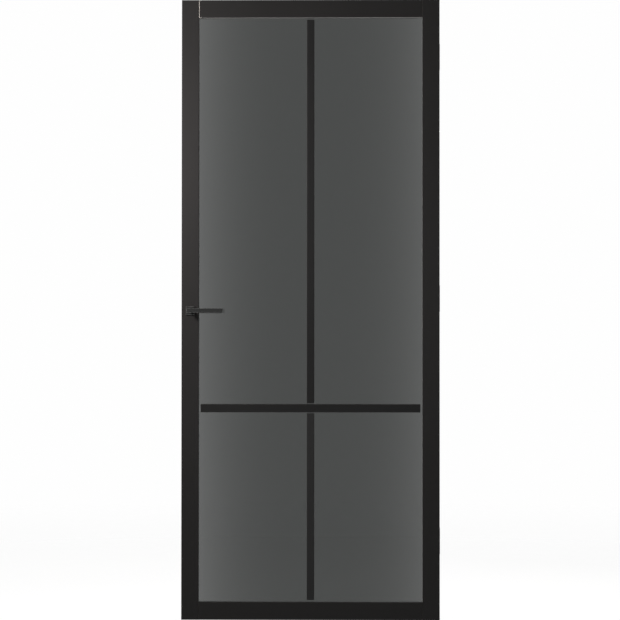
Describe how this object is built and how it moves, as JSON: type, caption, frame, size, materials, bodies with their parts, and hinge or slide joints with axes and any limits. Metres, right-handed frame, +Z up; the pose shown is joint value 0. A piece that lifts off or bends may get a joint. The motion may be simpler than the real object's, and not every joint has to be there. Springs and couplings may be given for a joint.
{
  "type": "hinged glass interior door leaf",
  "caption": "Slim black-framed interior door leaf with one smoked glass pane, stuck-on glazing bars, lever handles, narrow latch and butt hinges.",
  "frame": {"origin": "centre of the leaf's bottom edge, midway through its thickness", "axes": "+X along the leaf from the lock edge to the hinge edge, +Y from the front face to the back face, towards which the door opens, +Z up"},
  "size_m": [0.881, 0.144, 2.115],
  "materials": {
    "black_lacquer": "timber with a satin black lacquer, fine and even",
    "smoked_glass": "dark grey body-tinted float glass, polished",
    "black_rubber": "matt foam tape and hard glazing blocks",
    "black_metal": "fine matt black powder coat",
    "steel": "bright zinc-plated or drawn steel",
    "nickel": "nickel-plated magnet",
    "nylon": "natural nylon bearing rings",
    "beech": "raw fluted beech dowels"
  },
  "bodies": {
    "jamb_side": {"top_hinge_jamb_leaf": "black_metal", "top_hinge_pin": "black_metal", "middle_hinge_jamb_leaf": "black_metal", "middle_hinge_pin": "black_metal", "bottom_hinge_jamb_leaf": "black_metal", "bottom_hinge_pin": "black_metal"},
    "leaf": {"lock_stile": "black_lacquer", "hinge_stile": "black_lacquer", "top_rail": "black_lacquer", "bottom_rail": "black_lacquer", "corner_dowels": "beech", "glass_pane": "smoked_glass", "setting_blocks": "black_rubber", "front_glazing_tape": "black_rubber", "back_glazing_tape": "black_rubber", "top_bead": "black_lacquer", "bottom_bead": "black_lacquer", "lock_side_bead": "black_lacquer", "hinge_side_bead": "black_lacquer", "bead_pins": "steel", "front_cross_bar": "black_lacquer", "front_upper_bar": "black_lacquer", "front_lower_bar": "black_lacquer", "back_cross_bar": "black_lacquer", "back_upper_bar": "black_lacquer", "back_lower_bar": "black_lacquer", "front_bar_tapes": "black_rubber", "back_bar_tapes": "black_rubber", "latch_case": "steel", "latch_cover": "steel", "cover_screws": "steel", "faceplate": "black_metal", "faceplate_screws": "black_metal", "bolt_spring": "steel", "return_spring": "steel", "front_rose_base": "steel", "front_rose_cover": "black_metal", "front_rose_bush": "nylon", "front_rose_screws": "steel", "back_rose_base": "steel", "back_rose_cover": "black_metal", "back_rose_bush": "nylon", "back_rose_screws": "steel", "top_hinge_door_leaf": "black_metal", "middle_hinge_door_leaf": "black_metal", "bottom_hinge_door_leaf": "black_metal", "hinge_screws": "black_metal"},
    "handle": {"follower": "steel", "spindle": "steel", "front_lever": "black_metal", "front_grub_screw": "steel", "back_lever": "black_metal", "back_grub_screw": "steel"},
    "bolt": {"latch_bolt": "steel", "bolt_magnet": "nickel"}
  },
  "joints": [
    {"name": "door_swing", "type": "hinge", "parent": "jamb_side", "child": "leaf", "pos_m": [0.436, 0.0255, 0], "axis": [0, 0, -1], "range_deg": [0, 170]},
    {"name": "lever_turn", "type": "hinge", "parent": "leaf", "child": "handle", "pos_m": [-0.41, 0, 1.053], "axis": [0, 1, 0], "range_deg": [0, 35], "stiffness_Nm_per_rad": 1.2, "springref_deg": -28.65},
    {"name": "latch_slide", "type": "slide", "parent": "leaf", "child": "bolt", "axis": [-1, 0, 0], "range_m": [0, 0.01], "stiffness_N_per_m": 80, "springref_m": -0.005, "deforming": ["bolt_spring"]}
  ]
}
